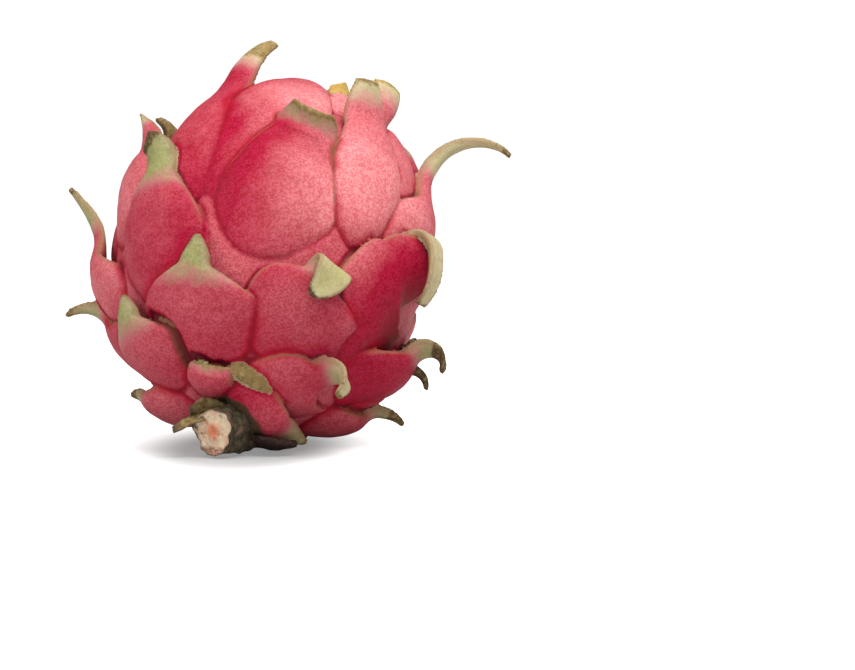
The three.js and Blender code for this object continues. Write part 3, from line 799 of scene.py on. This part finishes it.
class Nodes:
    """A small way to write a material's nodes. Sizes are in millimetres."""

    def __init__(self, name):
        self.material = bpy.data.materials.new(name)
        self.material.use_nodes = True
        self.tree = self.material.node_tree
        self.tree.nodes.clear()
        self.shader = self.new("BsdfPrincipled")
        self.feed(self.new("OutputMaterial").inputs["Surface"], self.shader.outputs[0])
        self.place = self.new("TexCoord").outputs["Object"]

    def new(self, kind):
        return self.tree.nodes.new("ShaderNode" + kind)

    def feed(self, socket, value):
        if isinstance(value, bpy.types.NodeSocket):
            self.tree.links.new(value, socket)
        elif isinstance(value, tuple) and socket.type == "RGBA":
            socket.default_value = (*value, 1.0)
        else:
            socket.default_value = value

    def attribute(self, name):
        node = self.new("Attribute")
        node.attribute_name = name
        return node.outputs["Fac"]

    def math(self, kind, a, b):
        node = self.new("Math")
        node.operation = kind
        self.feed(node.inputs[0], a)
        self.feed(node.inputs[1], b)
        return node.outputs[0]

    def plus(self, a, b):
        return self.math("ADD", a, b)

    def minus(self, a, b):
        return self.math("SUBTRACT", a, b)

    def times(self, a, b):
        return self.math("MULTIPLY", a, b)

    def wander(self, value, reach):
        """A noise of 0 to 1 as one round 0."""
        return self.times(self.minus(value, 0.5), reach)

    def ramp(self, value, low, high):
        """0 at low and 1 at high, with soft ends."""
        node = self.new("MapRange")
        node.interpolation_type = "SMOOTHSTEP"
        self.feed(node.inputs["Value"], value)
        node.inputs["From Min"].default_value = low
        node.inputs["From Max"].default_value = high
        return node.outputs["Result"]

    def mix(self, share, a, b):
        node = self.new("Mix")
        node.data_type = "RGBA"
        self.feed(node.inputs["Factor"], share)
        self.feed(node.inputs[6], a)
        self.feed(node.inputs[7], b)
        return node.outputs[2]

    def tint(self, under, colour, share, most):
        """A colour laid over another, most of it where share is 1."""
        return self.mix(self.times(share, most), under, colour)

    def noise(self, size, detail, roughness, distortion=0.0):
        node = self.new("TexNoise")
        self.feed(node.inputs["Vector"], self.place)
        node.inputs["Scale"].default_value = 1 / (size * MM)
        node.inputs["Detail"].default_value = detail
        node.inputs["Roughness"].default_value = roughness
        node.inputs["Distortion"].default_value = distortion
        return node.outputs["Fac"]

    def bump(self, height, distance, strength, under=None):
        node = self.new("Bump")
        node.inputs["Distance"].default_value = distance * MM
        node.inputs["Strength"].default_value = strength
        self.feed(node.inputs["Height"], height)
        if under is not None:
            self.feed(node.inputs["Normal"], under)
        return node.outputs["Normal"]

    def vector(self, operation, a, b=None):
        node = self.new("VectorMath")
        node.operation = operation
        self.feed(node.inputs[0], a)
        if b is not None:
            node.inputs[1].default_value = b
        return node.outputs["Value" if operation == "LENGTH" else "Vector"]

    def surface(self, colour, roughness, specular, normal=None):
        """Finishes the material."""
        self.feed(self.shader.inputs["Base Color"], colour)
        self.feed(self.shader.inputs["Roughness"], roughness)
        self.shader.inputs["Specular IOR Level"].default_value = specular
        if normal is not None:
            self.feed(self.shader.inputs["Normal"], normal)
        return self.material


# Heights in metres between which the pads are painted paler towards the top: a painted highlight.
SUNNY_FROM, SUNNY_TO = 0.099, 0.113

NET_RED, NET_PALE = (0.32, 0.001, 0.016), (0.68, 0.145, 0.165)
FLECK_RED, FLECK_PALE = (0.44, 0.012, 0.052), (0.81, 0.29, 0.295)
DEEP_RED, CRIMSON = (0.15, 0.010, 0.008), (0.42, 0.001, 0.018)
BRUISE, SCAR_BROWN = (0.24, 0.07, 0.045), (0.22, 0.10, 0.055)
SEAM_RED, HOLLOW_DARK = (0.26, 0.003, 0.014), (0.06, 0.007, 0.007)
BLUSH = (0.55, 0.27, 0.27)
FRINGE_BROWN, CREASE_DARK = (0.19, 0.085, 0.045), (0.12, 0.006, 0.012)

LEAF_CREAM, LEAF_GREEN = (0.58, 0.50, 0.28), (0.17, 0.15, 0.045)
LEAF_STRAW, LEAF_BROWN = (0.50, 0.44, 0.26), (0.26, 0.15, 0.06)
LEAF_HEART = (0.25, 0.27, 0.07)
LEAF_FLECK, LEAF_DOT = (0.66, 0.60, 0.38), (0.12, 0.12, 0.04)
LINING_CREAM, LINING_GREEN = (0.60, 0.48, 0.29), (0.34, 0.32, 0.12)
LINING_TAN, LINING_HEART = (0.42, 0.26, 0.12), (0.37, 0.37, 0.11)
LINING_FLECK = (0.74, 0.62, 0.46)

DRY_KHAKI, DRY_DARK = (0.30, 0.20, 0.075), (0.05, 0.033, 0.017)
DRY_YELLOW, DRY_STRAW = (0.66, 0.42, 0.10), (0.50, 0.37, 0.17)
DRY_STREAK, RIM_BROWN = (0.09, 0.055, 0.025), (0.27, 0.15, 0.07)
WITHERED_DARK, WITHERED_BROWN = (0.03, 0.015, 0.01), (0.12, 0.07, 0.035)


def skin_nodes():
    """The skin's nodes, with what its points are told and the noises that its colours share."""
    n = Nodes("dragon_fruit_skin")
    names = (*BARE_SKIN, "hollow", "free", "seam", "crease", "fringe", "withered")
    told = SimpleNamespace(**{name: n.attribute(name) for name in names})
    fine, coarse = n.noise(0.55, 1.5, 0.5, 0.2), n.noise(1.5, 2, 0.6, 0.3)
    marks = SimpleNamespace(
        fine=fine,
        speck=n.ramp(n.plus(n.times(fine, 0.65), n.times(coarse, 0.35)), 0.40, 0.60),
        patch=n.noise(14, 3, 0.55),
        blot=n.noise(5, 3, 0.6),
        streak=n.noise(1.6, 4, 0.65),
    )
    return n, told, marks


def paleness(n, told, marks):
    """How pale the red skin is: 1 pale, 0 full red; paler on ridges and high on the pads as painted
    highlight, and less pale in the hollows as painted shade.
    """
    pale = n.plus(told.pale, n.wander(marks.patch, 0.6))
    pale = n.times(pale, n.plus(0.35, n.times(n.ramp(told.row, 0.12, 0.52), 0.65)))
    pale = n.times(pale, n.minus(1.0, n.times(n.ramp(told.row, 0.7, 0.98), 0.45)))
    # Paler on ridges: painted highlight.
    pale = n.plus(pale, n.times(n.ramp(told.hollow, 0.1, -0.9), 0.15))
    # Paler high up on the pads: painted highlight.
    split = n.new("SeparateXYZ")
    n.feed(split.inputs[0], n.place)
    sunny = n.plus(split.outputs["Z"], n.times(marks.blot, 0.004))
    sunny = n.times(n.ramp(sunny, SUNNY_FROM, SUNNY_TO), n.ramp(told.row, 1.0, 0.75))
    pale = n.plus(pale, n.times(sunny, 0.7))
    # Less pale in the hollows: painted shade.
    return n.minus(pale, n.times(n.ramp(told.hollow, 0.05, 0.7), 0.4))


def red_skin(n, told, marks):
    """A fine net of red over paler flecks, with crimson seams, dark red creases deepened as painted
    shade, and painted shade deep in the hollows.
    """
    pale = paleness(n, told, marks)
    # Below 0, pale turns deep dark red: partly the skin's own deep red, partly painted shade under
    # curled tips.
    deep = n.ramp(pale, 0.0, -0.8)
    pale = n.math("MAXIMUM", pale, 0.0)
    pale.node.use_clamp = True
    skin = n.mix(marks.speck, n.mix(pale, NET_RED, NET_PALE), n.mix(pale, FLECK_RED, FLECK_PALE))
    skin = n.tint(skin, DEEP_RED, deep, 0.8)
    skin = n.tint(skin, BRUISE, n.ramp(marks.blot, 0.60, 0.78), 0.35)
    skin = n.tint(skin, SCAR_BROWN, n.ramp(n.noise(2.0, 4, 0.6), 0.68, 0.74), 0.6)
    flush = n.ramp(n.plus(told.seam, n.times(marks.blot, 3.0)), 4.6, 1.6)
    flush = n.times(flush, n.ramp(n.noise(22, 2, 0.5), 0.42, 0.6))
    skin = n.tint(skin, CRIMSON, n.times(flush, n.ramp(told.row, 0.0, 0.05)), 0.7)
    line = n.times(n.ramp(told.seam, 1.1, 0.1), n.plus(0.15, n.ramp(marks.patch, 0.35, 0.65)))
    skin = n.tint(skin, SEAM_RED, line, 0.6)
    # Very dark deep in the hollows: painted shade.
    skin = n.tint(skin, HOLLOW_DARK, n.ramp(told.hollow, 0.25, 0.95), 0.75)
    skin = n.tint(skin, BLUSH, n.ramp(told.green, -6.0, -0.5), 0.45)
    fringe = n.ramp(n.plus(told.crease, n.times(marks.blot, 2.0)), 3.4, 2.0)
    skin = n.tint(skin, FRINGE_BROWN, n.times(fringe, told.fringe), 0.75)
    # Dark red down the crease between the tiers, deepened as painted shade.
    return n.tint(skin, CREASE_DARK, n.ramp(told.crease, 1.6, 0.2), 0.8)


def green_tip(n, told, marks, heart):
    """The fresh part of a tip, cream to green, greener in its middle."""
    leaf = n.mix(told.tone, LEAF_CREAM, LEAF_GREEN)
    leaf = n.tint(leaf, LEAF_STRAW, n.ramp(marks.blot, 0.35, 0.7), 0.35)
    leaf = n.tint(leaf, LEAF_BROWN, n.ramp(marks.streak, 0.50, 0.70), 0.35)
    leaf = n.tint(leaf, LEAF_HEART, heart, 0.7)
    leaf = n.tint(leaf, LEAF_FLECK, marks.speck, 0.22)
    return n.tint(leaf, LEAF_DOT, n.ramp(marks.fine, 0.58, 0.70), 0.35)


def tip_lining(n, told, marks, heart):
    """The inner side of a tip."""
    lining = n.mix(told.tone, LINING_CREAM, LINING_GREEN)
    lining = n.tint(lining, LINING_TAN, n.ramp(marks.streak, 0.45, 0.72), 0.4)
    lining = n.tint(lining, LINING_HEART, heart, n.ramp(marks.blot, 0.3, 0.6))
    return n.tint(lining, LINING_FLECK, marks.speck, 0.25)


def dry_tip(n, told, marks):
    """The dried end of a tip: yellow, khaki or dark, with streaks."""
    dry = n.mix(told.brown, DRY_KHAKI, DRY_DARK)
    dry = n.mix(n.ramp(told.brown, 0.0, -0.8), dry, DRY_YELLOW)
    dry = n.tint(dry, DRY_STRAW, n.ramp(n.noise(1.5, 3, 0.6), 0.45, 0.7), 0.45)
    return n.tint(dry, DRY_STREAK, n.ramp(marks.streak, 0.54, 0.66), 0.5)


def skin_material():
    n, told, marks = skin_nodes()
    heart = n.times(n.ramp(told.margin, 1.0, 3.2), told.tone)
    green = n.ramp(n.plus(told.green, n.wander(n.noise(4, 3, 0.6), 8.0)), -4.5, 3.5)
    colour = n.mix(green, red_skin(n, told, marks), green_tip(n, told, marks, heart))
    lining = tip_lining(n, told, marks, heart)
    colour = n.tint(colour, lining, n.times(told.inner, told.free), 0.85)
    rim = n.ramp(n.plus(told.margin, n.times(marks.blot, 1.5)), 2.0, 0.9)
    rim = n.times(rim, n.ramp(told.row, 0.5, 0.75))
    colour = n.tint(colour, RIM_BROWN, rim, 0.55)
    dry = n.ramp(n.plus(told.dried, n.wander(n.noise(1.6, 4, 0.7), 3.0)), -0.5, 0.7)
    colour = n.mix(dry, colour, dry_tip(n, told, marks))
    # Very dark brown round the stub and the flower's pit: withered skin, and round the stub painted
    # shade as well.
    withered = n.ramp(n.plus(told.withered, n.wander(marks.blot, 0.8)), 0.35, 0.75)
    husk = n.mix(n.noise(1.5, 3, 0.6), WITHERED_DARK, WITHERED_BROWN)
    colour = n.mix(withered, colour, husk)

    n.shader.inputs["Subsurface Weight"].default_value = 0.08
    n.shader.inputs["Subsurface Radius"].default_value = (1.0, 0.3, 0.2)
    n.shader.inputs["Subsurface Scale"].default_value = 0.0015
    rough = n.plus(n.plus(0.42, n.times(n.noise(3, 3, 0.6), 0.14)), n.times(dry, 0.3))
    under = n.bump(n.noise(2.5, 4, 0.6), 0.35, 0.5)
    return n.surface(colour, rough, 0.12, n.bump(marks.fine, 0.08, 0.6, under))


BARK_DARK, BARK_OLIVE = (0.022, 0.016, 0.009), (0.085, 0.066, 0.032)
BARK_RED, BARK_GREY = (0.24, 0.13, 0.08), (0.20, 0.15, 0.08)
CUT_PINK, CUT_CREAM = (0.60, 0.34, 0.22), (0.68, 0.54, 0.37)
CUT_WHITE, CUT_CORE = (0.78, 0.66, 0.50), (0.56, 0.17, 0.08)
CRUST_DARK, CRUST_PINK = (0.16, 0.055, 0.035), (0.55, 0.30, 0.22)
CUT_MOULD, CUT_RIM = (0.07, 0.065, 0.055), (0.20, 0.10, 0.06)
BRACT_BROWN, BRACT_STRAW = (0.16, 0.095, 0.03), (0.36, 0.27, 0.11)
BRACT_DARK, BRACT_END = (0.06, 0.04, 0.02), (0.09, 0.06, 0.03)
BRACT_BLACK, BRACT_BLACK_FLECK = (0.022, 0.008, 0.006), (0.10, 0.045, 0.028)


def stem_material():
    n = Nodes("dragon_fruit_stem")
    cut, ray, leaf = n.attribute("cut"), n.attribute("ray"), n.attribute("leaf")
    fine, mid, broad = n.noise(0.7, 4, 0.7), n.noise(1.8, 4, 0.65), n.noise(4.5, 3, 0.6)

    bark = n.mix(n.ramp(mid, 0.35, 0.65), BARK_DARK, BARK_OLIVE)
    bark = n.tint(bark, BARK_RED, n.ramp(broad, 0.52, 0.68), 0.7)
    bark = n.tint(bark, BARK_GREY, n.ramp(fine, 0.58, 0.7), 0.5)

    face = n.mix(n.ramp(broad, 0.34, 0.56), CUT_PINK, CUT_CREAM)
    face = n.tint(face, CUT_WHITE, n.ramp(mid, 0.45, 0.7), 0.5)
    face = n.tint(face, CUT_CORE, n.ramp(n.plus(ray, n.times(mid, 0.5)), 0.75, 0.45), 0.9)
    sole = n.ramp(n.plus(n.attribute("sole"), n.wander(mid, 0.8)), 0.3, 0.6)
    face = n.tint(face, n.mix(n.ramp(fine, 0.4, 0.62), CRUST_DARK, CRUST_PINK), sole, 0.85)
    mould = n.plus(n.noise(2.6, 4, 0.7), n.times(n.attribute("mouldy"), 0.14))
    face = n.tint(face, CUT_MOULD, n.ramp(mould, 0.60, 0.72), 0.85)
    face = n.tint(face, CUT_RIM, n.ramp(ray, 0.86, 1.0), 0.8)
    colour = n.mix(cut, bark, face)

    dry = n.mix(n.ramp(mid, 0.35, 0.65), BRACT_BROWN, BRACT_STRAW)
    dry = n.tint(dry, BRACT_DARK, n.ramp(fine, 0.56, 0.7), 0.5)
    dry = n.mix(n.ramp(n.plus(leaf, n.times(broad, 0.2)), 1.85, 2.1), dry, BRACT_END)
    # The first bract is painted very dark: painted shadow under the fruit's foot.
    black = n.mix(n.ramp(fine, 0.5, 0.68), BRACT_BLACK, BRACT_BLACK_FLECK)
    dry = n.mix(n.ramp(leaf, 2.0, 2.1), dry, black)
    colour = n.mix(n.ramp(leaf, 0.2, 0.8), colour, dry)
    rough = n.plus(0.65, n.times(fine, 0.25))
    return n.surface(colour, rough, 0.3, n.bump(fine, 0.2, 0.8, n.bump(mid, 0.5, 0.8)))


FLOWER_BROWN, FLOWER_TAN = (0.10, 0.06, 0.025), (0.38, 0.27, 0.12)
FLOWER_STRAW, FLOWER_DARK = (0.50, 0.40, 0.22), (0.05, 0.03, 0.015)


def scar_material():
    n = Nodes("dried_flower")
    fine, mid = n.noise(0.7, 4, 0.7), n.noise(2.4, 4, 0.65)
    colour = n.mix(n.ramp(mid, 0.35, 0.65), FLOWER_BROWN, FLOWER_TAN)
    colour = n.tint(colour, FLOWER_STRAW, n.ramp(fine, 0.5, 0.7), 0.6)
    colour = n.tint(colour, FLOWER_DARK, n.ramp(n.attribute("height"), 3.6, 2.2), 0.6)
    rough = n.plus(0.7, n.times(fine, 0.25))
    return n.surface(colour, rough, 0.3, n.bump(fine, 0.25, 0.8, n.bump(mid, 0.5, 0.7)))


def dress(made, material, node, slot):
    """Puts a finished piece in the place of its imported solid."""
    made.data.materials.clear()
    made.data.materials.append(material)
    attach(made, "root")
    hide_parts(node)


dress(build_fruit(), skin_material(), "fruit", "skin")
dress(build_stub(), stem_material(), "stem_stub", "stem")
dress(build_scar(), scar_material(), "flower_scar", "dried_flower")


# -------- floor, light and camera

CAMERA_LENS, SENSOR_WIDTH = 100.0, 36.0
IMAGE_WIDTH, IMAGE_HEIGHT = 855, 670
PIXELS_PER_MM = 3.268
CENTRE_PIXEL = (272.0, 262.0)
ELEVATION = math.radians(4.0)

FLOOR_SIZE, FLOOR_DROP = 30.0, 0.0002
FLOOR_TONE, FLOOR_GLOW = (0.6, 0.6, 0.6), 0.95
# The painted shadow round the fruit's foot, a darker floor tone and a weaker glow that only the
# camera sees: its middle and half widths in millimetres, and the shares of those between which it
# fades.
SHADE_TONE, SHADE_GLOW = (0.33, 0.33, 0.33), 0.25
SHADE_MIDDLE = np.array([-4.8, -20.0])
SHADE_REACH = np.array([37.0, 70.0])
SHADE_FADE = (0.45, 1.15)

BACKDROP_SEEN, BACKDROP_LIGHT = 1.05, 0.22
LIGHT_SIZE = 0.8
LIGHT_AIM = Vector((0, 0, 0.05))
# Places in metres and powers in watts.
LIGHTS = [
    ("key", (0.3, -0.28, 1.1), 15.5),
    ("fill", (-0.95, -0.35, 0.5), 5),
    ("front", (0.15, -1.3, 0.5), 5),
]


def build_floor():
    bpy.ops.mesh.primitive_plane_add(size=FLOOR_SIZE, location=(0, 0, -FLOOR_DROP))
    floor = bpy.context.object
    floor.name = "studio_floor"
    n = Nodes("studio_floor")
    n.shader.inputs["Emission Color"].default_value = (1, 1, 1, 1)
    # A darker tone and weaker glow near the fruit, seen by the camera only: a painted shadow.
    seen = n.new("LightPath").outputs["Is Camera Ray"]
    far = n.vector("SUBTRACT", n.place, (*(SHADE_MIDDLE * MM), 0))
    far = n.vector("LENGTH", n.vector("DIVIDE", far, (*(SHADE_REACH * MM), 1)))
    lit = n.ramp(far, *SHADE_FADE)
    shade = n.times(n.minus(1.0, lit), seen)
    glow = n.plus(SHADE_GLOW, n.times(lit, FLOOR_GLOW - SHADE_GLOW))
    n.feed(n.shader.inputs["Emission Strength"], n.times(glow, seen))
    floor.data.materials.append(n.surface(n.mix(shade, FLOOR_TONE, SHADE_TONE), 0.9, 0.1))
    floor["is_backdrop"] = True


def build_backdrop():
    """A white world that lights the fruit less than it shines itself."""
    world = bpy.data.worlds.new("studio")
    bpy.context.scene.world = world
    world.use_nodes = True
    nodes, links = world.node_tree.nodes, world.node_tree.links
    nodes.clear()
    either = nodes.new("ShaderNodeMixShader")
    path = nodes.new("ShaderNodeLightPath")
    links.new(path.outputs["Is Camera Ray"], either.inputs[0])
    for socket, strength in ((1, BACKDROP_LIGHT), (2, BACKDROP_SEEN)):
        shine = nodes.new("ShaderNodeBackground")
        shine.inputs["Color"].default_value = (1, 1, 1, 1)
        shine.inputs["Strength"].default_value = strength
        links.new(shine.outputs[0], either.inputs[socket])
    links.new(either.outputs[0], nodes.new("ShaderNodeOutputWorld").inputs["Surface"])


def build_light(name, place, power):
    light = bpy.data.lights.new(name, "AREA")
    light.shape = "RECTANGLE"
    light.size = light.size_y = LIGHT_SIZE
    light.energy = power
    lamp = bpy.data.objects.new(name, light)
    lamp.location = place
    lamp.rotation_euler = (LIGHT_AIM - Vector(place)).to_track_quat("-Z", "Y").to_euler()
    bpy.context.scene.collection.objects.link(lamp)


def build_camera():
    """Looks level along +Y, a little down, with the berry's centre at its own pixel."""
    camera = bpy.data.cameras.new("camera")
    camera.lens, camera.sensor_width = CAMERA_LENS, SENSOR_WIDTH
    made = bpy.data.objects.new("camera", camera)
    bpy.context.scene.collection.objects.link(made)
    ahead = np.array([0, math.cos(ELEVATION), -math.sin(ELEVATION)])
    across = np.array([1.0, 0, 0])
    up = np.cross(across, ahead)
    distance = CAMERA_LENS / SENSOR_WIDTH * IMAGE_WIDTH / PIXELS_PER_MM
    offset = across * (CENTRE_PIXEL[0] - IMAGE_WIDTH / 2)
    offset = offset - up * (CENTRE_PIXEL[1] - IMAGE_HEIGHT / 2)
    place = CENTRE - offset / PIXELS_PER_MM - ahead * distance
    turn = Matrix(np.column_stack([across, up, -ahead]).tolist()).to_4x4()
    made.matrix_world = Matrix.Translation(Vector(place * MM)) @ turn
    camera.clip_start, camera.clip_end = 0.01, 50
    bpy.context.scene.camera = made


build_floor()
build_backdrop()
for light in LIGHTS:
    build_light(*light)
build_camera()
bpy.context.scene.view_settings.view_transform = "Standard"

visual_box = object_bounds()
